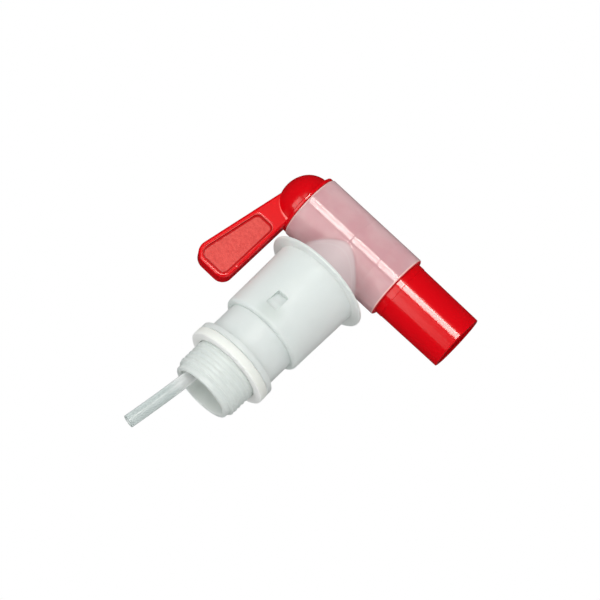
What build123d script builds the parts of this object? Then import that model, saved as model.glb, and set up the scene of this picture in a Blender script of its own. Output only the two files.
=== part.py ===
from build123d import *
import os
from math import asin, atan2, cos, degrees, hypot, radians, sin, tan

os.makedirs("parts", exist_ok=True)

# The origin is where the thread's axis meets the gasket's sealing face.
# +Y points into the container; the barrel and the key in it stand along Z.

# Container thread: the crest of a parallel pipe thread, and the plain lead before it
thread_radius = 13.2
thread_length = 10.4
thread_chamfer = 0.5
thread_depth = 1.15
lead_length = 2.45
lead_round = 0.6
neck_undercut = 0.2
neck_wall = 1.85

# Gasket and the collar that backs it
gasket_thickness = 3.59
gasket_overhang = 0.08
gasket_clearance = 0.1
gasket_round = 0.5
gasket_seat = 3.66
collar_ledge = 2.21
collar_thickness = 2.35
collar_round = 0.4

# Sleeve of the adaptor, the end that plugs into the skirt of the valve body
sleeve_wall = 2.25
sleeve_clearance = 0.1
funnel_length = 3.2

# Snap windows in the skirt, and the ramped lugs that catch in them
window_count = 2
window_angle = 8.0
window_width = 5.0
window_length = 6.4
window_round = 0.8
window_setback = 5.4
lug_clearance = 0.25
lug_height = 1.8
lug_toe = 0.3
lug_crest = 1.4
lug_root = 1.0

# Skirt and disc flange of the valve body
skirt_rim_reach = 17.7
skirt_rim_wall = 2.13
skirt_rim_round = 1.2
skirt_root_wall = 2.72
disc_reach = 46.91
disc_overhang = 3.85
disc_thickness = 1.2
disc_round = 0.5
web_thickness = 2.6

# Stub between barrel and disc, which goes on inside the skirt as a spigot
stub_inset = 0.9
stub_wall = 2.5
stub_root_round = 1.5
spigot_reach = 33.0

# Barrel: parallel to Z, with its axis this far from the back of the disc
stub_length = 18.94
barrel_wall = 1.65
barrel_top = 22.0
barrel_bottom = -22.18
barrel_rim_round = 0.7

# Plug of the key, and how it runs in the barrel
plug_radius = 11.5
plug_wall = 2.0
plug_clearance = 0.05
plug_end_play = 0.1
bead_height = 0.15
bead_width = 2.8

# Spout: the lower end of the plug, drawn in a little towards its tip
spout_tip = -51.92
spout_draft = 0.3
spout_tip_round = 0.4

# Waterway: a round port in the barrel's wall and one like it in the plug, each in
# the lower half of the stub's bore
port_margin = 0.6

# Air way: a nipple for the vent tube, and pipes in the key that lead down the spout
air_height = 3.65
air_bore_radius = 1.0
air_pipe_radius = 2.2
pipe_sink = 0.6
pipe_setback = 1.0
nipple_radius = 1.7
nipple_length = 6.0
boss_radius = 3.0
boss_length = 3.85

# Cap flange and dome of the key
cap_inset = 0.3
cap_thickness = 1.3
cap_round = 0.4
cap_ledge = 1.85
dome_skirt = 0.2
dome_height = 10.04
dome_ease = 0.44
dome_wall = 2.2

# Lever: a blade with a level lower edge and a rising upper edge
lever_thickness = 6.6
lever_reach = 45.0
lever_bottom = 22.9
lever_root_height = 8.9
lever_rise_angle = 9.9
lever_top_round = 5.2
lever_bottom_round = 4.3
lever_edge_round = 1.0
lever_root_round = 1.0

# Sunk panel on each face of the lever, sized at its mouth
panel_start_margin = 3.5
panel_end_margin = 1.4
panel_bottom_margin = 1.4
panel_top_margin = 1.7
panel_round = 2.4
panel_depth = 0.8
panel_draft = 20.0
panel_lip_round = 0.5

# Vent tube: cut from a coil, so it curves up a little, and just clears the neck's bore
tube_radius = 2.45
tube_wall = 0.7
tube_neck_clearance = 0.69
tube_length_along_neck = 88.4

# Radii that follow from the plug's, each piece round the one that it fits on
barrel_bore_radius = plug_radius + plug_clearance
barrel_radius = barrel_bore_radius + barrel_wall
stub_radius = barrel_radius - stub_inset
stub_bore_radius = stub_radius - stub_wall
sleeve_bore_radius = stub_radius + sleeve_clearance
sleeve_radius = sleeve_bore_radius + sleeve_wall
collar_radius = max(sleeve_radius + collar_ledge, thread_radius + gasket_seat)
gasket_radius = collar_radius + gasket_overhang
socket_radius = sleeve_radius + sleeve_clearance
skirt_rim_radius = socket_radius + skirt_rim_wall
skirt_root_radius = socket_radius + skirt_root_wall
disc_radius = skirt_root_radius + disc_overhang
cap_radius = barrel_radius - cap_inset
dome_radius = cap_radius - cap_ledge
spout_tip_radius = plug_radius - spout_draft
lead_radius = thread_radius - thread_depth
neck_bore_radius = lead_radius - neck_wall
port_radius = (stub_bore_radius - port_margin) / 2
tube_bore_radius = tube_radius - tube_wall

# Places that follow from those sizes
collar_front = -gasket_thickness
collar_back = collar_front - collar_thickness
thread_end = thread_length + lead_length
disc_back = -(disc_reach + disc_thickness)
barrel_reach = disc_reach + disc_thickness + stub_length
web_face = disc_back + web_thickness
port_height = -port_radius
window_middle = -(skirt_rim_reach + window_setback + window_length / 2)
boss_reach = barrel_reach - barrel_radius - boss_length
cap_bottom = barrel_top + plug_end_play
cap_top = cap_bottom + cap_thickness
dome_base = cap_top + dome_skirt
dome_shoulder = min(dome_radius, dome_height) - dome_ease
bead_top = barrel_bottom - plug_end_play
plug_bore_radius = plug_radius - plug_wall
down_pipe_offset = plug_bore_radius - air_pipe_radius + pipe_sink
bore_dome_height = dome_base + dome_height - dome_wall - cap_bottom
web_half_width = plug_bore_radius + pipe_sink
web_dome_height = bore_dome_height + pipe_sink
panel_start = cap_radius + panel_start_margin
tube_rise_to_mouth = neck_bore_radius - tube_neck_clearance - tube_radius - air_height
tube_bend_radius = ((boss_reach + thread_end) ** 2 + tube_rise_to_mouth**2) / (2 * tube_rise_to_mouth)

# Planes and axis of the barrel
barrel_foot = (0, -barrel_reach, 0)
barrel_level = Plane(origin=barrel_foot, x_dir=(1, 0, 0), z_dir=(0, 0, 1))
barrel_section = Plane(origin=barrel_foot, x_dir=(1, 0, 0), z_dir=(0, -1, 0))
barrel_side = Plane(origin=barrel_foot, x_dir=(0, 1, 0), z_dir=(1, 0, 0))
barrel_to_neck = Plane(origin=barrel_foot, x_dir=(-1, 0, 0), z_dir=(0, 1, 0))
barrel_axis = Axis(barrel_foot, (0, 0, 1))

# How closely an edge has to match the place or radius that it is picked by
edge_match = 0.005


def window_directions():
    """Outward directions of the snap windows, level with the thread's axis."""
    for turn in range(window_count):
        angle = radians(window_angle + turn * 360 / window_count)
        yield Vector(-cos(angle), 0, sin(angle))


def circles_of_radius(part, radius):
    """The circular edges of a part that have this radius."""
    circles = part.edges().filter_by(GeomType.CIRCLE)
    return circles.filter_by(lambda edge: abs(edge.radius - radius) < edge_match)


def off_neck_axis(edge):
    """How far the middle of an edge lies from the axis of the neck."""
    middle = edge @ 0.5
    return hypot(middle.X, middle.Z)


# Valve body: skirt, disc flange, stub and barrel in one moulding
with BuildPart() as valve_body:
    with BuildSketch(Plane.XY):
        with BuildLine():
            Polyline(
                (stub_bore_radius, -barrel_reach),
                (stub_radius, -barrel_reach),
                (stub_radius, disc_back),
                (disc_radius, disc_back),
                (disc_radius, -disc_reach),
                (skirt_root_radius, -disc_reach),
                (skirt_rim_radius, -skirt_rim_reach),
                (socket_radius, -skirt_rim_reach),
                (socket_radius, web_face),
                (stub_radius, web_face),
                (stub_radius, -spigot_reach),
                (stub_bore_radius, -spigot_reach),
                close=True,
            )
        make_face()
    revolve(axis=Axis.Y)
    fillet(circles_of_radius(valve_body, disc_radius), disc_round)
    fillet(circles_of_radius(valve_body, skirt_rim_radius), skirt_rim_round)
    # The barrel closes the stub's bore until the ports are cut
    with BuildSketch(barrel_level.offset(barrel_bottom)):
        Circle(barrel_radius)
    extrude(amount=barrel_top - barrel_bottom)
    barrel_edges = valve_body.edges(Select.NEW)
    stub_root = barrel_edges.filter_by(lambda edge: abs(off_neck_axis(edge) - stub_radius) < edge_match)
    fillet(stub_root, stub_root_round)
    fillet(circles_of_radius(valve_body, barrel_radius), barrel_rim_round)
    # Nipple for the vent tube, on a boss that stops the tube
    with BuildSketch(barrel_to_neck):
        with Locations((0, air_height)):
            Circle(boss_radius)
    extrude(amount=barrel_reach - boss_reach)
    with BuildSketch(barrel_to_neck):
        with Locations((0, air_height)):
            Circle(nipple_radius)
    extrude(amount=barrel_reach - boss_reach + nipple_length)
    with BuildSketch(barrel_level.offset(barrel_bottom)):
        Circle(barrel_bore_radius)
    extrude(amount=barrel_top - barrel_bottom, mode=Mode.SUBTRACT)
    with BuildSketch(barrel_to_neck):
        with Locations((0, port_height)):
            Circle(port_radius)
    extrude(amount=barrel_reach - boss_reach, mode=Mode.SUBTRACT)
    with BuildSketch(barrel_to_neck):
        with Locations((0, air_height)):
            Circle(air_bore_radius)
    extrude(amount=barrel_reach, mode=Mode.SUBTRACT)
    for outward in window_directions():
        window_plane = Plane(
            origin=outward * (sleeve_radius - lug_root) + Vector(0, window_middle, 0),
            x_dir=(0, 1, 0),
            z_dir=outward,
        )
        with BuildSketch(window_plane):
            RectangleRounded(window_length, window_width, window_round)
        extrude(amount=disc_radius - sleeve_radius, mode=Mode.SUBTRACT)
valve_body.part.label = "valve_body"

# Threaded adaptor: sleeve, collar and container thread, with the snap lugs
lug_back = window_middle - window_length / 2 + lug_clearance
lug_front = window_middle + window_length / 2 - lug_clearance
with BuildPart() as threaded_adaptor:
    with BuildSketch(Plane.XY):
        with BuildLine():
            Polyline(
                (sleeve_bore_radius, web_face),
                (sleeve_radius, web_face),
                (sleeve_radius, collar_back),
                (collar_radius, collar_back),
                (collar_radius, collar_front),
                (thread_radius - neck_undercut, collar_front),
                (thread_radius - neck_undercut, 0),
                (thread_radius, 0),
                (thread_radius, thread_length),
                (lead_radius, thread_length),
                (lead_radius, thread_end),
                (neck_bore_radius, thread_end),
                (neck_bore_radius, collar_back + funnel_length),
                (sleeve_bore_radius, collar_back),
                close=True,
            )
        make_face()
    revolve(axis=Axis.Y)
    fillet(circles_of_radius(threaded_adaptor, collar_radius), collar_round)
    lead_edge = circles_of_radius(threaded_adaptor, lead_radius).sort_by(Axis.Y)[-1]
    fillet(lead_edge, lead_round)
    crest_edge = circles_of_radius(threaded_adaptor, thread_radius).sort_by(Axis.Y)[-1]
    chamfer(crest_edge, thread_chamfer)
    for outward in window_directions():
        lug_plane = Plane(origin=(0, 0, 0), x_dir=(0, 1, 0), z_dir=Vector(0, 1, 0).cross(outward))
        with BuildSketch(lug_plane):
            with BuildLine():
                Polyline(
                    (lug_back, sleeve_radius - lug_root),
                    (lug_back, sleeve_radius + lug_toe),
                    (lug_front - lug_crest, sleeve_radius + lug_height),
                    (lug_front, sleeve_radius + lug_height),
                    (lug_front, sleeve_radius - lug_root),
                    close=True,
                )
            make_face()
        extrude(amount=window_width / 2 - lug_clearance, both=True)
threaded_adaptor.part.label = "threaded_adaptor"

# Sealing gasket: a flat ring on the undercut neck, against the collar
with BuildPart() as sealing_gasket:
    with BuildSketch(Plane.XZ):
        Circle(gasket_radius)
        Circle(thread_radius + gasket_clearance, mode=Mode.SUBTRACT)
    extrude(amount=gasket_thickness)
    fillet(circles_of_radius(sealing_gasket, gasket_radius), gasket_round)
sealing_gasket.part.label = "sealing_gasket"

# Rotary key: lever, dome, cap flange, plug and spout in one moulding
rise = tan(radians(lever_rise_angle))
lever_root_top = lever_bottom + lever_root_height
lever_tip_top = lever_root_top + rise * lever_reach
panel_end = lever_reach - panel_end_margin
panel_bottom = lever_bottom + panel_bottom_margin
panel_top_at_axis = lever_root_top - panel_top_margin
# The dome's section is a shoulder arc that runs tangent into a wider crown arc
crown_rise = (dome_radius - dome_shoulder) ** 2 + dome_height**2 - dome_shoulder**2
crown_radius = crown_rise / (2 * (dome_height - dome_shoulder))
crown_centre = dome_base + dome_height - crown_radius
crown_start = degrees(atan2(dome_base - crown_centre, dome_radius - dome_shoulder))
with BuildPart() as rotary_key:
    with BuildSketch(barrel_side) as lever_outline:
        with BuildLine():
            Polyline(
                (0, lever_bottom),
                (lever_reach, lever_bottom),
                (lever_reach, lever_tip_top),
                (0, lever_root_top),
                close=True,
            )
        make_face()
        tip_bottom = lever_outline.vertices().sort_by(Axis.X)[-2:].sort_by(Axis.Y)[0]
        fillet(tip_bottom, lever_bottom_round)
        tip_top = lever_outline.vertices().sort_by(Axis.Y)[-1]
        fillet(tip_top, lever_top_round)
    extrude(amount=lever_thickness / 2, both=True)
    face_edges = rotary_key.edges().group_by(Axis.X)
    fillet(face_edges[0] + face_edges[-1], lever_edge_round)
    for side in (-1, 1):
        with BuildSketch(barrel_side.offset(side * lever_thickness / 2)) as panel_mouth:
            with BuildLine():
                Polyline(
                    (panel_start, panel_bottom),
                    (panel_end, panel_bottom),
                    (panel_end, panel_top_at_axis + rise * panel_end),
                    (panel_start, panel_top_at_axis + rise * panel_start),
                    close=True,
                )
            make_face()
            mouth_bottom = panel_mouth.vertices().sort_by(Axis.X)[-2:].sort_by(Axis.Y)[0]
            fillet(mouth_bottom, lever_bottom_round - panel_end_margin)
            mouth_top = panel_mouth.vertices().sort_by(Axis.Y)[-1]
            fillet(mouth_top, lever_top_round - panel_end_margin)
            mouth_root = panel_mouth.vertices().sort_by(Axis.X)[:2]
            fillet(mouth_root, panel_round)
        extrude(amount=-side * panel_depth, taper=panel_draft, mode=Mode.SUBTRACT)
        lever_face = rotary_key.faces().filter_by(Axis.X).sort_by(lambda face: side * face.center().X)[-1]
        fillet(lever_face.inner_wires()[0].edges(), panel_lip_round)
    with BuildSketch(barrel_section) as head:
        with BuildLine():
            CenterArc((dome_radius - dome_shoulder, dome_base), dome_shoulder, 0, crown_start)
            CenterArc((0, crown_centre), crown_radius, crown_start, 90 - crown_start)
            Polyline(
                (dome_radius, dome_base),
                (dome_radius, cap_top),
                (cap_radius, cap_top),
                (cap_radius, cap_bottom),
                (plug_radius, cap_bottom),
                (plug_radius, bead_top),
                (plug_radius + bead_height, bead_top - bead_height),
                (plug_radius + bead_height, bead_top - bead_width + bead_height),
                (plug_radius, bead_top - bead_width),
                (spout_tip_radius, spout_tip),
                (0, spout_tip),
                (0, dome_base + dome_height),
            )
        make_face()
        cap_corners = head.vertices().sort_by(Axis.X)[-2:]
        fillet(cap_corners, cap_round)
        tip_corner = head.vertices().group_by(Axis.Y)[0].sort_by(Axis.X)[-1]
        fillet(tip_corner, spout_tip_round)
    revolve(axis=barrel_axis)
    lever_root = rotary_key.edges(Select.NEW).filter_by(lambda edge: edge.center().Z > cap_top + edge_match)
    fillet(lever_root, lever_root_round)
    # Bore up into the dome, which a web splits in two above the air pipe
    with BuildSketch(barrel_section):
        with BuildLine():
            EllipticalCenterArc((0, cap_bottom), plug_bore_radius, bore_dome_height, arc_size=90)
            Polyline(
                (0, cap_bottom + bore_dome_height),
                (0, spout_tip),
                (plug_bore_radius, spout_tip),
                (plug_bore_radius, cap_bottom),
            )
        make_face()
    revolve(axis=barrel_axis, mode=Mode.SUBTRACT)
    with BuildSketch(barrel_section):
        with BuildLine():
            EllipticalCenterArc((0, cap_bottom), web_half_width, web_dome_height, arc_size=180)
            Polyline(
                (-web_half_width, cap_bottom),
                (-web_half_width, air_height),
                (web_half_width, air_height),
                (web_half_width, cap_bottom),
            )
        make_face()
    extrude(amount=air_pipe_radius, both=True)
    with BuildSketch(barrel_side.offset(-plug_radius + plug_wall / 2)):
        with Locations((0, air_height)):
            Circle(air_pipe_radius)
    extrude(amount=2 * plug_radius - plug_wall)
    with BuildSketch(barrel_level.offset(spout_tip + pipe_setback)):
        with Locations((-down_pipe_offset, 0)):
            Circle(air_pipe_radius)
    extrude(amount=air_height - spout_tip - pipe_setback)
    # Air way through the pipes, and the liquid port beneath it
    with BuildSketch(barrel_side.offset(-down_pipe_offset)):
        with Locations((0, air_height)):
            Circle(air_bore_radius)
    extrude(amount=down_pipe_offset + plug_radius, mode=Mode.SUBTRACT)
    with BuildSketch(barrel_level.offset(spout_tip)):
        with Locations((-down_pipe_offset, 0)):
            Circle(air_bore_radius)
    extrude(amount=air_height - spout_tip + air_bore_radius, mode=Mode.SUBTRACT)
    with BuildSketch(barrel_side):
        with Locations((0, port_height)):
            Circle(port_radius)
    extrude(amount=plug_radius, mode=Mode.SUBTRACT)
rotary_key.part.label = "rotary_key"

# Vent tube: pushed over the nipple up to the boss, and out through the neck
tube_turn = degrees(asin(tube_length_along_neck / tube_bend_radius))
with BuildPart() as vent_tube:
    with BuildSketch(barrel_to_neck.offset(barrel_reach - boss_reach)):
        with Locations((0, air_height)):
            Circle(tube_radius)
            Circle(tube_bore_radius, mode=Mode.SUBTRACT)
    bend_axis = Axis((0, -boss_reach, air_height + tube_bend_radius), (1, 0, 0))
    revolve(axis=bend_axis, revolution_arc=tube_turn)
vent_tube.part.label = "vent_tube"

export_step(valve_body.part, "parts/valve_body.step")
export_step(threaded_adaptor.part, "parts/threaded_adaptor.step")
export_step(sealing_gasket.part, "parts/sealing_gasket.step")
export_step(rotary_key.part, "parts/rotary_key.step")
export_step(vent_tube.part, "parts/vent_tube.step")
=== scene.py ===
import math

import bmesh
import bpy
from mathutils import Matrix, Vector


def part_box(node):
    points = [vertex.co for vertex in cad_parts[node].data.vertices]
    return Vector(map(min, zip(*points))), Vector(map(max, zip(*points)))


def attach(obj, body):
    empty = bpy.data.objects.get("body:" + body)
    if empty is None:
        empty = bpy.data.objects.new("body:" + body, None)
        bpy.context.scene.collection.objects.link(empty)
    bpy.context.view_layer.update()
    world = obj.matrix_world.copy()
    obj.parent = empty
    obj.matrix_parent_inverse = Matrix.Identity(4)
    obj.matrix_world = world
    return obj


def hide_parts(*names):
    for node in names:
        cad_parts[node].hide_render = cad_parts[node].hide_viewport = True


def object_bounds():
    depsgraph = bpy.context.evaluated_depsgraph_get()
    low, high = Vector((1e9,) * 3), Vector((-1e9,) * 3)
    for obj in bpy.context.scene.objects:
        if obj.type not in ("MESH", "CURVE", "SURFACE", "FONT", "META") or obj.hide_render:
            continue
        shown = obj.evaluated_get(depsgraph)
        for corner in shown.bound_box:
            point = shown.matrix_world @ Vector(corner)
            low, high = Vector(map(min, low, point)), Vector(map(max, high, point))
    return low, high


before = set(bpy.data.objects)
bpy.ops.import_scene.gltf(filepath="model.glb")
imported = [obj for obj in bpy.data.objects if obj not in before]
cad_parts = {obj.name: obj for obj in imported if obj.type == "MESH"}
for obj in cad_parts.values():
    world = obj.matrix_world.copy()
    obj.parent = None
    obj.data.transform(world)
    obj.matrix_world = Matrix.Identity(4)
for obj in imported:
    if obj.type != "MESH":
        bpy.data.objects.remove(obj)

CAD_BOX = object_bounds()
MM = 0.001

# Camera: where the photograph was taken from, in the row's frame
CAMERA_PLACE = Vector((-640.14, 187.72, -100.28)) * MM
CAMERA_FORWARD = Vector((0.93312, -0.32892, 0.14528))
CAMERA_DOWN = Vector((0.33604, 0.65394, -0.67782))
SENSOR_WIDTH = 36.0
FOCAL_LENGTH = 113.85

# Body: what its paint and relief are placed by
BARREL_Y = -67.05 * MM
BARREL_RADIUS = 13.2 * MM
BARREL_WALL_ENDS = (BARREL_RADIUS + 0.1 * MM, BARREL_RADIUS + 0.7 * MM)
BARREL_RIM = 21.42 * MM
RIM_UNDERSIDE = -21.92 * MM
FILLET_HIGHLIGHT_LINES = ((BARREL_RADIUS + 0.35 * MM, 0.35 * MM), (BARREL_RADIUS + 1.7 * MM, 0.4 * MM))
DISC_BACK = -48.1 * MM
DISC_BLEND = 0.3 * MM
SINK_MARKS = (0.3 * MM, -12.3 * MM)
SINK_WIDTH = 0.4 * MM
WINDOW_SHADE_ACROSS, WINDOW_SHADE_ALONG = -1.0 * MM, -21.4 * MM
WINDOW_SHADE_INNER, WINDOW_SHADE_OUTER = 1.5 * MM, 6.5 * MM
TRANSLUCENT_SHARE = 0.2
SATIN, POLISHED = 0.42, 0.115

# Lever and dome of the key. Reach is measured from the barrel's axis, and the lever's top is given there.
FLAT = 0.05 * MM
LEVER_HALF = 3.3 * MM
LEVER_START = 4 * MM
LEVER_FOOT = 23.6 * MM
LEVER_REACH, LEVER_BOTTOM, LEVER_TOP = 45.0 * MM, 22.9 * MM, 31.8 * MM
LEVER_SLOPE = 0.1745
LEVER_CORNERS = (4.3 * MM, 5.2 * MM)
EDGE_ROUNDING = 1.05 * MM
DOME_SHOULDER = 24.04 * MM
DOME_RING = 1.51 * MM
DOME_ROUND = 9.6 * MM
PANEL_START = 14 * MM
PANEL_MOUTH = 16.5 * MM
PANEL_INSET, PANEL_TOP_INSET = 1.4 * MM, 1.7 * MM
PANEL_CORNER = 2.4 * MM
PANEL_FLOOR = 2.5 * MM
PANEL_WALL = (2.74 * MM, 0.18 * MM)
PANEL_LIP = (3.04 * MM, 0.22 * MM)
PANEL_BORDER = (0.55 * MM, 1.4 * MM)
PIP_REACH, PIP_HEIGHT, PIP_RADIUS = 37.4 * MM, 23.7 * MM, 0.6 * MM

# Neck, gasket and tube: where their paint changes
NECK_INSIDE = (10.5 * MM, 11.5 * MM)
THREAD_PAINT = (-1 * MM, 1 * MM)
LUG_GLINT = 1.6 * MM
GASKET_FRONT = -0.15 * MM
TUBE_PAINTED_LIGHT = (13 * MM, 22 * MM)

# Adaptor, which gets its thread here: radii and places along the neck, in millimetres
NECK_BACK, NECK_END = (corner[1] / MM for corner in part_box("threaded_adaptor"))
SLEEVE_RADIUS = 14.65
SLEEVE_BORE = 12.4
SKIRT_END = -17.7
COLLAR_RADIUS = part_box("threaded_adaptor")[1][0] / MM
COLLAR_BACK = -5.94
COLLAR_FRONT = -3.59
UNDERCUT_RADIUS = 13.0
CREST_RADIUS = 13.2
THREAD_DEPTH = 0.3
THREAD_PITCH = 1.814
THREAD_END = 10.4
THREAD_CHAMFER = 0.5
LEAD_RADIUS = 12.05
LEAD_SHOULDER = 0.4
NECK_BORE = 10.2
FUNNEL_LENGTH = 3.2
EDGE_ROUND = 0.4
LEAD_ROUND = 0.6
LUG_ANGLES = (-82.0, 98.0)
LUG_HALF_WIDTH = 2.25
LUG_BACK, LUG_CREST, LUG_FRONT = -29.25, -24.75, -23.35
LUG_TOE, LUG_HEIGHT = 0.3, 1.8
LUG_WALL = 0.02

# The adaptor's mesh: steps round it, in a corner and in a turn of the thread, and angles in degrees
NECK_STEPS = 192
CORNER_STEPS = 4
ROWS_PER_TURN = 12
LUG_CLEARANCE = 0.4
SHARP_ANGLE = 38

# Lamps: azimuth from -X towards +Y, elevation, distance, width, height and power
REFLECTED_LAMPS = (
    ("strip_left", -5.5, 5.7, 0.9, 0.080, 0.24, 1.6),
    ("strip_right", 6.2, 5.7, 0.9, 0.176, 0.24, 2.5),
    ("strip_join", -1.2, 1.8, 0.9, 0.058, 0.12, 0.42),
    ("strip_halo", 2.2, 19.0, 0.9, 0.27, 0.18, 0.18),
    ("window_low_near", 28.5, 2.6, 1.0, 0.31, 0.08, 0.05),
    ("window_low_far", 53.0, 2.6, 1.0, 0.54, 0.08, 0.17),
    ("window_high_near", 28.5, 18.5, 1.0, 0.31, 0.50, 1.3),
    ("window_high_far", 53.0, 18.5, 1.0, 0.54, 0.50, 2.7),
)
SHADING_LAMPS = (
    ("key", 3.0, 5.5, 1.0, 0.35, 0.3, 3.5),
    ("fill", 46.0, 18.0, 1.0, 0.8, 0.4, 2.0),
)
REFLECTED_COLOUR = (1.0, 0.97, 0.90)
AMBIENT = 0.56
DARK_STUDIO = 0.015
BACKDROP_EDGE, BACKDROP_MIDDLE = 0.98, 0.995
FLOOR_DROP = 0.2
FLOOR_HALF = 1.2
FLOOR_WHITE = 0.6


def linear(red, green, blue):
    """Scene colour of an 8-bit screen colour."""
    def one(value):
        value /= 255
        return value / 12.92 if value <= 0.04045 else ((value + 0.055) / 1.055) ** 2.4
    return (one(red), one(green), one(blue), 1.0)


class Nodes:
    """Short ways to build the nodes of one material, or of the world."""

    def __init__(self, name, world=None):
        self.owner = world or bpy.data.materials.new(name)
        self.owner.use_nodes = True
        self.tree = self.owner.node_tree
        self.tree.nodes.clear()
        self.position = self.add("ShaderNodeTexCoord").outputs["Generated" if world else "Object"]

    def add(self, kind, **settings):
        node = self.tree.nodes.new(kind)
        for name, value in settings.items():
            setattr(node, name, value)
        return node

    def feed(self, source, target):
        if isinstance(source, bpy.types.NodeSocket):
            self.tree.links.new(source, target)
        else:
            target.default_value = source

    def math(self, operation, *values):
        node = self.add("ShaderNodeMath", operation=operation)
        for value, target in zip(values, node.inputs):
            self.feed(value, target)
        return node.outputs[0]

    def both(self, first, second):
        return self.math("MULTIPLY", first, second)

    def axis(self, letter):
        node = self.add("ShaderNodeSeparateXYZ")
        self.feed(self.position, node.inputs[0])
        return node.outputs["XYZ".index(letter)]

    def ramp(self, value, low, high, low_value=0.0, high_value=1.0, smooth=True):
        node = self.add("ShaderNodeMapRange")
        if smooth:
            node.interpolation_type = "SMOOTHSTEP"
        for source, target in zip((value, low, high, low_value, high_value), node.inputs):
            self.feed(source, target)
        return node.outputs[0]

    def noise(self, scale, detail=2.0, roughness=0.5):
        node = self.add("ShaderNodeTexNoise")
        self.feed(self.position, node.inputs["Vector"])
        node.inputs["Scale"].default_value = scale
        node.inputs["Detail"].default_value = detail
        node.inputs["Roughness"].default_value = roughness
        return node.outputs["Fac"]

    def mix(self, factor, first, second):
        node = self.add("ShaderNodeMix", data_type="RGBA")
        self.feed(factor, node.inputs[0])
        self.feed(first, node.inputs[6])
        self.feed(second, node.inputs[7])
        return node.outputs[2]

    def bump(self, height, distance, strength=1.0, normal=None):
        node = self.add("ShaderNodeBump")
        self.feed(strength, node.inputs["Strength"])
        node.inputs["Distance"].default_value = distance
        self.feed(height, node.inputs["Height"])
        if normal is not None:
            self.feed(normal, node.inputs["Normal"])
        return node.outputs[0]

    def principled(self, **inputs):
        node = self.add("ShaderNodeBsdfPrincipled")
        for name, value in inputs.items():
            self.feed(value, node.inputs[name.replace("_", " ")])
        return node.outputs[0]

    def finish(self, shader):
        output = self.add("ShaderNodeOutputMaterial")
        self.feed(shader, output.inputs["Surface"])
        return self.owner


def blend_shaders(nodes, factor, first, second):
    node = nodes.add("ShaderNodeMixShader")
    nodes.feed(factor, node.inputs[0])
    nodes.feed(first, node.inputs[1])
    nodes.feed(second, node.inputs[2])
    return node.outputs[0]


def facing_away(nodes):
    """0 where the surface faces the eye, and 1 where it is edge on."""
    weight = nodes.add("ShaderNodeLayerWeight")
    weight.inputs["Blend"].default_value = 0.5
    return weight.outputs["Facing"]


def let_through(nodes, share, surface):
    """A surface that lets this share of what is behind it show."""
    clear = nodes.add("ShaderNodeBsdfTransparent")
    return blend_shaders(nodes, share, surface, clear.outputs[0])


def distance(nodes, first, second):
    """Length of a step with these two sides."""
    return nodes.math("SQRT", nodes.math("ADD", nodes.math("MULTIPLY", first, first),
                                         nodes.math("MULTIPLY", second, second)))


def off_barrel_axis(nodes):
    return distance(nodes, nodes.axis("X"), nodes.math("SUBTRACT", nodes.axis("Y"), BARREL_Y))


def off_neck_axis(nodes):
    return distance(nodes, nodes.axis("X"), nodes.axis("Z"))


def line(nodes, value, middle, half_width):
    """1 where the value is at the middle, and 0 from half a width away on."""
    away = nodes.math("ABSOLUTE", nodes.math("SUBTRACT", value, middle))
    return nodes.ramp(away, 0.0, half_width, 1.0, 0.0)


def mottle(nodes, scale, detail, first, second, low=0.35, high=0.65):
    """Two tones that run into each other in soft patches."""
    return nodes.mix(nodes.ramp(nodes.noise(scale, detail), low, high), first, second)


def milky_plastic(name, paint_over, see_through, roughness=SATIN, marks=None):
    """Natural polyethylene: a soft white that lets some of what is behind it show, least where edge on."""
    nodes = Nodes(name)
    white = mottle(nodes, 90.0, 3.0, linear(240, 247, 244), linear(243, 250, 247))
    tone = paint_over(nodes, white)
    grain = nodes.bump(nodes.noise(1800.0), 0.02 * MM, 0.3)
    wave = nodes.ramp(on_barrel(nodes), 0.0, 1.0, 0.2, 0.05, smooth=False)
    relief = nodes.bump(nodes.noise(120.0, 1.0), 0.1 * MM, wave, grain)
    if marks:
        relief = nodes.bump(marks(nodes), 0.08 * MM, 1.0, relief)
    surface = nodes.principled(
        Base_Color=tone,
        Roughness=roughness(nodes) if callable(roughness) else roughness,
        IOR=1.53,
        Subsurface_Weight=0.4,
        Subsurface_Radius=(3.6 * MM, 3.5 * MM, 3.4 * MM),
        Subsurface_Scale=1.0,
        Normal=relief,
    )
    through = nodes.add("ShaderNodeBsdfTranslucent")
    nodes.feed(tone, through.inputs["Color"])
    surface = blend_shaders(nodes, TRANSLUCENT_SHARE, surface, through.outputs[0])
    square_on = nodes.ramp(facing_away(nodes), 0.05, 0.60, 1.0, 0.05)
    share = nodes.both(square_on, see_through(nodes) if callable(see_through) else see_through)
    return nodes.finish(let_through(nodes, share, surface))


def on_barrel(nodes):
    """1 on the barrel and 0 on what stands out of it."""
    return nodes.ramp(off_barrel_axis(nodes), *BARREL_WALL_ENDS, 1.0, 0.0)


def behind_disc(nodes):
    """1 on the barrel and the stub, and 0 from the disc on."""
    return nodes.ramp(nodes.axis("Y"), DISC_BACK - DISC_BLEND, DISC_BACK, 1.0, 0.0)


def on_rim(nodes):
    """1 on the rims at the barrel's two ends."""
    height = nodes.math("ABSOLUTE", nodes.axis("Z"))
    return nodes.both(nodes.math("GREATER_THAN", height, BARREL_RIM), on_barrel(nodes))


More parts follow.
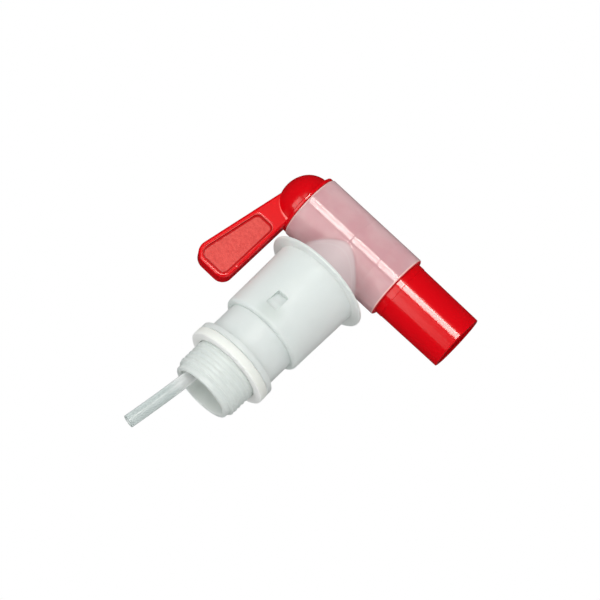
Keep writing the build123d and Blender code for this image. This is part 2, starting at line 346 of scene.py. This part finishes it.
def painted_shade_round_windows(nodes):
    """1 on the skirt where its snap windows are, fading out round them, where the skirt gets a painted
    shade.
    """
    turn = math.radians(LUG_ANGLES[0])
    across = nodes.math("SUBTRACT", nodes.math("MULTIPLY", nodes.axis("X"), math.cos(turn)),
                        nodes.math("MULTIPLY", nodes.axis("Z"), math.sin(turn)))
    aside = nodes.math("SUBTRACT", across, WINDOW_SHADE_ACROSS)
    along = nodes.math("SUBTRACT", nodes.axis("Y"), WINDOW_SHADE_ALONG)
    away = distance(nodes, aside, along)
    return nodes.ramp(away, WINDOW_SHADE_INNER, WINDOW_SHADE_OUTER, 1.0, 0.0)


def body_paint(nodes, white):
    """The plug tints the barrel, and the stub less so. The skirt gets a painted shade round its snap
    windows, and the stub's fillet and the rims a painted highlight.
    """
    # Painted shade on the skirt round its snap windows.
    tone = nodes.mix(painted_shade_round_windows(nodes), white, linear(223, 231, 227))
    tone = nodes.mix(behind_disc(nodes), tone, linear(240, 223, 224))
    blush = mottle(nodes, 110.0, 3.0, linear(236, 190, 195), linear(242, 203, 206))
    tone = nodes.mix(on_barrel(nodes), tone, blush)
    reach = off_barrel_axis(nodes)
    # Painted highlight: two paler lines along the stub's fillet on the barrel.
    fillet = nodes.math("MAXIMUM", *(line(nodes, reach, *place) for place in FILLET_HIGHLIGHT_LINES))
    tone = nodes.mix(nodes.math("MULTIPLY", fillet, 0.55), tone, linear(246, 234, 234))
    # Painted highlight on the rims at the barrel's ends.
    tone = nodes.mix(on_rim(nodes), tone, linear(255, 212, 206))
    below = nodes.math("LESS_THAN", nodes.axis("Z"), RIM_UNDERSIDE)
    return nodes.mix(nodes.both(below, on_barrel(nodes)), tone, linear(236, 66, 72))


def body_clearness(nodes):
    """The barrel's wall lets the red plug show through it, and its rims don't."""
    share = nodes.ramp(behind_disc(nodes), 0.0, 1.0, 0.10, 0.16, smooth=False)
    share = nodes.math("ADD", share, nodes.math("MULTIPLY", on_barrel(nodes), 0.13))
    return nodes.both(share, nodes.math("SUBTRACT", 1.0, on_rim(nodes)))


def body_roughness(nodes):
    """The barrel is polished, and the skirt is satin."""
    return nodes.ramp(on_barrel(nodes), 0.0, 1.0, SATIN, POLISHED, smooth=False)


def sink_marks(nodes):
    """Height of the barrel's outside: faint rings where the wall drew in as it cooled."""
    first, second = (line(nodes, nodes.axis("Z"), place, SINK_WIDTH) for place in SINK_MARKS)
    drawn_in = nodes.math("MAXIMUM", first, nodes.math("MULTIPLY", second, 0.5))
    return nodes.both(nodes.math("SUBTRACT", 1.0, drawn_in), on_barrel(nodes))


def neck_paint(nodes, white):
    """The thread and the inside are a little darker than the sleeve, and the lugs' crests get a painted
    highlight.
    """
    off_axis = off_neck_axis(nodes)
    tone = nodes.mix(nodes.ramp(nodes.axis("Y"), *THREAD_PAINT), white, linear(233, 239, 236))
    on_lug = nodes.math("GREATER_THAN", off_axis, (SLEEVE_RADIUS + LUG_TOE / 2) * MM)
    # Painted highlight along the lugs' crests.
    crest_highlight = line(nodes, nodes.axis("Y"), LUG_CREST * MM, LUG_GLINT)
    tone = nodes.mix(nodes.both(crest_highlight, on_lug), tone, linear(246, 255, 251))
    return nodes.mix(nodes.ramp(off_axis, *NECK_INSIDE, 1.0, 0.0), tone, linear(238, 243, 239))


def past_dome(nodes, side, reach, height):
    """1 outside the dome's own surface."""
    rise = nodes.math("MAXIMUM", nodes.math("SUBTRACT", height, DOME_SHOULDER), 0.0)
    left = nodes.math("SUBTRACT", DOME_ROUND ** 2, nodes.math("MULTIPLY", rise, rise))
    radius = nodes.math("ADD", nodes.math("SQRT", nodes.math("MAXIMUM", left, 0.0)), DOME_RING)
    return nodes.math("GREATER_THAN", distance(nodes, side, reach), radius)


def lever_edges(nodes, reach, height, inset=0.0, top_inset=0.0):
    """Distances in from the lever's tip, lower edge and upper edge, or from lines inset from them."""
    to_tip = nodes.math("SUBTRACT", LEVER_REACH - inset, reach)
    from_bottom = nodes.math("SUBTRACT", height, LEVER_BOTTOM + inset)
    top = nodes.math("ADD", LEVER_TOP - top_inset, nodes.math("MULTIPLY", reach, LEVER_SLOPE))
    below_top = nodes.math("SUBTRACT", top, height)
    return to_tip, from_bottom, nodes.math("MULTIPLY", below_top, math.cos(math.atan(LEVER_SLOPE)))


def into_corner(nodes, first, second, corner):
    """How far inside an edge that turns a corner of this radius, by the distances from its two sides."""
    first = nodes.math("MAXIMUM", nodes.math("SUBTRACT", corner, first), 0.0)
    second = nodes.math("MAXIMUM", nodes.math("SUBTRACT", corner, second), 0.0)
    return nodes.math("SUBTRACT", corner, distance(nodes, first, second))


def into_end(nodes, from_end, from_bottom, from_top, corners):
    """How far inside one end of the lever or its panel, with its lower and its upper corner."""
    low, high = corners
    return nodes.math("MINIMUM", into_corner(nodes, from_end, from_bottom, low),
                      into_corner(nodes, from_end, from_top, high))


def within_lever(nodes, reach, height):
    """1 on the lever's flat sides, inside the rounding of their edges."""
    inside = into_end(nodes, *lever_edges(nodes, reach, height), LEVER_CORNERS)
    return nodes.math("GREATER_THAN", inside, EDGE_ROUNDING)


def into_panel(nodes, reach, height):
    """How far inside the mouth of the lever's sunk panel."""
    to_tip, from_bottom, from_top = lever_edges(nodes, reach, height, PANEL_INSET, PANEL_TOP_INSET)
    from_root = nodes.math("SUBTRACT", reach, PANEL_MOUTH)
    tip_corners = [corner - PANEL_INSET for corner in LEVER_CORNERS]
    tip = into_end(nodes, to_tip, from_bottom, from_top, tip_corners)
    root = into_end(nodes, from_root, from_bottom, from_top, (PANEL_CORNER, PANEL_CORNER))
    return nodes.math("MINIMUM", tip, root)


def lever_masks(nodes, side, reach, height):
    """1 on the lever's flat faces, and 1 on the rounded root between them and the dome."""
    lever = nodes.both(nodes.math("GREATER_THAN", reach, LEVER_START),
                       nodes.math("GREATER_THAN", height, LEVER_FOOT))
    lever = nodes.both(lever, past_dome(nodes, side, reach, height))
    face = nodes.both(nodes.math("COMPARE", side, LEVER_HALF, FLAT), lever)
    root = nodes.both(nodes.math("GREATER_THAN", side, LEVER_HALF + FLAT), lever)
    return face, root


def panel_masks(nodes, side, reach, height):
    """1 on the lip, on the wall and on the floor of the lever's sunk panels."""
    past_root = nodes.math("GREATER_THAN", reach, PANEL_START)
    past_root = nodes.both(past_root, within_lever(nodes, reach, height))
    lip = nodes.both(line(nodes, side, *PANEL_LIP), past_root)
    wall = nodes.both(nodes.math("COMPARE", side, *PANEL_WALL), past_root)
    floor = nodes.both(nodes.math("COMPARE", side, PANEL_FLOOR, FLAT), past_root)
    return lip, wall, floor


def red_plastic():
    """Glossy red moulding, satin on the lever, with a sparked finish on its panels inside a plain border. It
    has painted light on its flat faces, painted highlights on its panel lips, lever root and pip, painted
    shade on its panel walls and border, and painted sheen on its sparked floors.
    """
    nodes = Nodes("red_plastic")
    side = nodes.math("ABSOLUTE", nodes.axis("X"))
    reach = nodes.math("SUBTRACT", nodes.axis("Y"), BARREL_Y)
    height = nodes.axis("Z")
    face, root = lever_masks(nodes, side, reach, height)
    lip, wall, floor = panel_masks(nodes, side, reach, height)
    border = nodes.ramp(into_panel(nodes, reach, height), *PANEL_BORDER, 1.0, 0.0)
    sparked = nodes.both(floor, nodes.math("SUBTRACT", 1.0, border))
    off_pip = distance(nodes, nodes.math("SUBTRACT", reach, PIP_REACH),
                       nodes.math("SUBTRACT", height, PIP_HEIGHT))
    pip = nodes.ramp(off_pip, 0.0, PIP_RADIUS, 1.0, 0.0)

    tone = nodes.mix(nodes.noise(60.0), linear(211, 0, 12), linear(219, 0, 15))
    # Painted light: the lever's flat faces are painted brighter than the rest.
    tone = nodes.mix(face, tone, linear(229, 2, 14))
    # Painted highlight on the panels' lips.
    tone = nodes.mix(lip, tone, linear(255, 120, 112))
    # Painted shade on the panels' walls.
    tone = nodes.mix(wall, tone, linear(150, 0, 10))
    # Painted highlight on the rounded root between the lever and the dome.
    tone = nodes.mix(root, tone, linear(250, 105, 98))
    # Painted sheen on the sparked panel floors, and painted shade on their plain, unsparked border.
    sunk = mottle(nodes, 900.0, 2.0, linear(214, 54, 46), linear(226, 70, 61), 0.3, 0.7)
    tone = nodes.mix(floor, tone, nodes.mix(border, sunk, linear(190, 0, 8)))
    # Painted highlight on the pip.
    tone = nodes.mix(nodes.both(pip, face), tone, linear(255, 130, 122))

    spark = nodes.bump(nodes.noise(2200.0, 2.0, 0.6), 0.12 * MM, nodes.math("MULTIPLY", sparked, 0.9))
    on_cap = nodes.math("GREATER_THAN", height, LEVER_FOOT)
    polish = nodes.ramp(on_cap, 0.0, 1.0, 0.145, 0.16, smooth=False)
    satin = nodes.math("MAXIMUM", polish, nodes.math("MULTIPLY", face, 0.22))
    return nodes.finish(nodes.principled(
        Base_Color=tone,
        Roughness=nodes.math("MAXIMUM", satin, nodes.math("MULTIPLY", sparked, 0.6)),
        IOR=1.49,
        Normal=nodes.bump(pip, 0.12 * MM, 1.0, spark),
    ))


def gasket_plastic():
    """Soft, warm white ring, with painted light making its front face palest."""
    nodes = Nodes("gasket_white")
    tone = nodes.mix(nodes.noise(200.0, 3.0), linear(231, 235, 228), linear(238, 241, 234))
    # Painted light: the gasket's front face is painted palest.
    front = nodes.math("GREATER_THAN", nodes.axis("Y"), GASKET_FRONT)
    return nodes.finish(nodes.principled(
        Base_Color=nodes.mix(front, tone, linear(251, 253, 247)),
        Roughness=0.6,
        IOR=1.45,
        Subsurface_Weight=0.7,
        Subsurface_Radius=(3 * MM, 3 * MM, 3 * MM),
        Subsurface_Scale=1.0,
        Normal=nodes.bump(nodes.noise(2200.0), 0.06 * MM, 0.5),
    ))


def tube_plastic():
    """Clear, slightly hazy tube, with painted light making it paler inside the neck."""
    nodes = Nodes("clear_tube")
    tone = nodes.mix(nodes.noise(60.0), linear(211, 222, 219), linear(219, 229, 227))
    # Painted light on the tube where it runs inside the neck.
    painted_light_in_neck = nodes.ramp(nodes.axis("Y"), *TUBE_PAINTED_LIGHT, 0.95, 0.0)
    surface = nodes.principled(
        Base_Color=nodes.mix(painted_light_in_neck, tone, linear(250, 252, 251)),
        Roughness=0.2,
        IOR=1.5,
        Normal=nodes.bump(nodes.noise(200.0, 1.0), 0.02 * MM, 0.1),
    )
    share = nodes.ramp(facing_away(nodes), 0.0, 0.55, 0.58, 0.04)
    return nodes.finish(let_through(nodes, share, surface))


def paint(obj, material):
    obj.data.materials.clear()
    obj.data.materials.append(material)


def corner_arc(y, radius, turn_y, turn_r, size):
    """Points (y, r) round a corner that runs from the Y direction turn_y into the radial one turn_r."""
    points = []
    for k in range(CORNER_STEPS + 1):
        angle = math.pi / 2 * k / CORNER_STEPS
        along = turn_y * size * (1 - math.sin(angle))
        inwards = turn_r * size * (1 - math.cos(angle))
        points.append((y - along, radius - inwards))
    return points


def ring_angles():
    """Even steps round the neck, with a close pair of lines at each side of a lug."""
    lug_half = math.degrees(LUG_HALF_WIDTH / SLEEVE_RADIUS)
    wall = math.degrees(LUG_WALL / SLEEVE_RADIUS)
    halves = (lug_half, lug_half + wall)
    sides = [lug + sign * half for lug in LUG_ANGLES for sign in (-1, 1) for half in halves]
    even = [360.0 * k / NECK_STEPS - 180.0 for k in range(NECK_STEPS)]
    free = [angle for angle in even if min(abs(angle - side) for side in sides) > LUG_CLEARANCE]
    return sorted(free + sides)


def lug_rise(angle, y):
    """How far a snap lug stands out of the sleeve."""
    lug_half = math.degrees(LUG_HALF_WIDTH / SLEEVE_RADIUS) + 0.001
    off = min(abs(angle - lug) for lug in LUG_ANGLES)
    if off > lug_half or not LUG_BACK <= y <= LUG_FRONT:
        return 0.0
    share = min(1.0, (y - LUG_BACK) / (LUG_CREST - LUG_BACK))
    return LUG_TOE + (LUG_HEIGHT - LUG_TOE) * share


def thread_radius(angle, y):
    """The round-crested right-handed thread, which fades in from the undercut and ends at the chamfer."""
    phase = 2 * math.pi * (y / THREAD_PITCH - angle / 360)
    ridge = CREST_RADIUS - THREAD_DEPTH * (0.5 - 0.5 * math.cos(phase))
    share = min(1.0, y / (THREAD_PITCH / 3))
    ridge = UNDERCUT_RADIUS + (ridge - UNDERCUT_RADIUS) * share
    return min(ridge, CREST_RADIUS - max(0.0, y - (THREAD_END - THREAD_CHAMFER)))


def adaptor_rows():
    """The adaptor's whole section, turned round the neck, with its thread and lugs as heights on it."""
    plain = [(NECK_BACK, SLEEVE_BORE)]
    plain += corner_arc(NECK_BACK, SLEEVE_RADIUS, -1, 1, EDGE_ROUND)[::-1]
    lug_rows = [LUG_BACK - LUG_WALL, LUG_BACK, LUG_CREST, LUG_FRONT, LUG_FRONT + LUG_WALL]
    plain += [(y, SLEEVE_RADIUS) for y in lug_rows + [SKIRT_END, COLLAR_BACK]]
    collar = corner_arc(COLLAR_BACK, COLLAR_RADIUS, -1, 1, EDGE_ROUND)[::-1]
    collar += corner_arc(COLLAR_FRONT, COLLAR_RADIUS, 1, 1, EDGE_ROUND)
    collar += [(COLLAR_FRONT, UNDERCUT_RADIUS), (0.0, UNDERCUT_RADIUS)]
    step = THREAD_PITCH / ROWS_PER_TURN
    thread = [step * (k + 1) for k in range(int(THREAD_END / step))] + [THREAD_END]
    end = [(THREAD_END + LEAD_SHOULDER, LEAD_RADIUS)]
    end += corner_arc(NECK_END, LEAD_RADIUS, 1, 1, LEAD_ROUND)
    end += corner_arc(NECK_END, NECK_BORE, 1, -1, EDGE_ROUND)[::-1]
    end += [(COLLAR_BACK + FUNNEL_LENGTH, NECK_BORE), (COLLAR_BACK, SLEEVE_BORE)]
    angles = ring_angles()
    rows = [[(a, y, r + lug_rise(a, y)) for a in angles] for y, r in plain]
    rows += [[(a, y, r) for a in angles] for y, r in collar]
    rows += [[(a, y, thread_radius(a, y)) for a in angles] for y in thread]
    return rows + [[(a, y, r) for a in angles] for y, r in end]


def threaded_adaptor():
    """A copy of the adaptor with its thread cut, as one closed mesh."""
    model = bmesh.new()
    rings = []
    for row in adaptor_rows():
        ring = []
        for angle, y, radius in row:
            turn = math.radians(angle)
            point = Vector((radius * math.sin(turn), y, radius * math.cos(turn)))
            ring.append(model.verts.new(point * MM))
        rings.append(ring)
    for k, ring in enumerate(rings):
        following = rings[(k + 1) % len(rings)]
        for j in range(len(ring)):
            i = (j + 1) % len(ring)
            face = model.faces.new((ring[j], ring[i], following[i], following[j]))
            face.smooth = True
    bmesh.ops.recalc_face_normals(model, faces=model.faces)
    mesh = bpy.data.meshes.new("threaded_neck")
    model.to_mesh(mesh)
    model.free()
    mesh.set_sharp_from_angle(angle=math.radians(SHARP_ANGLE))
    piece = bpy.data.objects.new("threaded_neck", mesh)
    bpy.context.scene.collection.objects.link(piece)
    return piece


def soft_light(target, name, azimuth, elevation, away_by, width, height, power):
    """An area lamp that faces the target. Azimuth runs from -X towards +Y."""
    turn, lift = math.radians(azimuth), math.radians(elevation)
    away = Vector((-math.cos(turn) * math.cos(lift), math.sin(turn) * math.cos(lift), math.sin(lift)))
    lamp = bpy.data.lights.new(name, "AREA")
    lamp.shape = "RECTANGLE"
    lamp.size = width
    lamp.size_y = height
    lamp.energy = power
    holder = bpy.data.objects.new(name, lamp)
    bpy.context.scene.collection.objects.link(holder)
    holder.location = target + away * away_by
    holder.rotation_euler = (-away).to_track_quat("-Z", "Y").to_euler()
    return holder


def build_world():
    """White to the camera, and behind the tap in reflections, with a plain soft light on the tap."""
    world = bpy.data.worlds.new("studio")
    bpy.context.scene.world = world
    nodes = Nodes("studio_nodes", world)
    path = nodes.add("ShaderNodeLightPath")
    seen = nodes.math("MAXIMUM", path.outputs["Is Camera Ray"], path.outputs["Is Transmission Ray"])
    behind = nodes.add("ShaderNodeVectorMath", operation="DOT_PRODUCT")
    nodes.feed(nodes.position, behind.inputs[0])
    nodes.feed(CAMERA_FORWARD.normalized(), behind.inputs[1])
    backdrop = nodes.ramp(behind.outputs["Value"], BACKDROP_EDGE, BACKDROP_MIDDLE, DARK_STUDIO, 1.0)
    level = nodes.mix(path.outputs["Is Glossy Ray"], (AMBIENT, AMBIENT, AMBIENT, 1.0), backdrop)
    white = nodes.mix(seen, level, (1.0, 1.0, 1.0, 1.0))
    background = nodes.add("ShaderNodeBackground")
    nodes.feed(white, background.inputs["Color"])
    output = nodes.add("ShaderNodeOutputWorld")
    nodes.feed(background.outputs[0], output.inputs["Surface"])


def build_floor():
    """A plain white floor, well below the tap, that keeps the tap's shadow."""
    mesh = bpy.data.meshes.new("floor")
    level = CAD_BOX[0][2] - FLOOR_DROP
    centre = (Vector(CAD_BOX[0]) + Vector(CAD_BOX[1])) / 2
    corners = [(centre.x + sx * FLOOR_HALF, centre.y + sy * FLOOR_HALF, level)
               for sx, sy in ((-1, -1), (1, -1), (1, 1), (-1, 1))]
    mesh.from_pydata(corners, [], [(0, 1, 2, 3)])
    floor = bpy.data.objects.new("floor", mesh)
    bpy.context.scene.collection.objects.link(floor)
    nodes = Nodes("floor_white")
    lit = nodes.principled(Base_Color=(0.9, 0.9, 0.9, 1.0), Roughness=0.9)
    white = nodes.add("ShaderNodeEmission").outputs[0]
    seen = nodes.add("ShaderNodeLightPath").outputs["Is Camera Ray"]
    share = nodes.math("MULTIPLY", seen, FLOOR_WHITE)
    paint(floor, nodes.finish(blend_shaders(nodes, share, lit, white)))
    floor.visible_glossy = False


def build_lights():
    middle = Vector((0, BARREL_Y, 0))
    for lamp in REFLECTED_LAMPS:
        holder = soft_light(middle, *lamp)
        holder.data.color = REFLECTED_COLOUR
        holder.visible_diffuse = False
    for lamp in SHADING_LAMPS:
        soft_light(middle, *lamp).visible_glossy = False


def build_camera():
    data = bpy.data.cameras.new("camera")
    data.sensor_width = SENSOR_WIDTH
    data.lens = FOCAL_LENGTH
    camera = bpy.data.objects.new("camera", data)
    bpy.context.scene.collection.objects.link(camera)
    forward = CAMERA_FORWARD.normalized()
    up = -CAMERA_DOWN.normalized()
    right = forward.cross(up)
    turn = Matrix((right, up, -forward)).transposed()
    camera.matrix_world = Matrix.Translation(CAMERA_PLACE) @ turn.to_4x4()
    bpy.context.scene.camera = camera


build_camera()
build_world()
build_floor()
build_lights()

body_plastic = milky_plastic("natural_plastic_body", body_paint, body_clearness, body_roughness, sink_marks)
paint(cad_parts["valve_body"], body_plastic)
neck_plastic = milky_plastic("natural_plastic_neck", neck_paint, see_through=0.08)
paint(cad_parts["threaded_adaptor"], neck_plastic)
neck = threaded_adaptor()
paint(neck, neck_plastic)
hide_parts("threaded_adaptor")
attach(neck, "tap_body")
paint(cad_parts["sealing_gasket"], gasket_plastic())
paint(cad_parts["rotary_key"], red_plastic())
paint(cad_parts["vent_tube"], tube_plastic())

scene = bpy.context.scene
scene.view_settings.view_transform = "Standard"
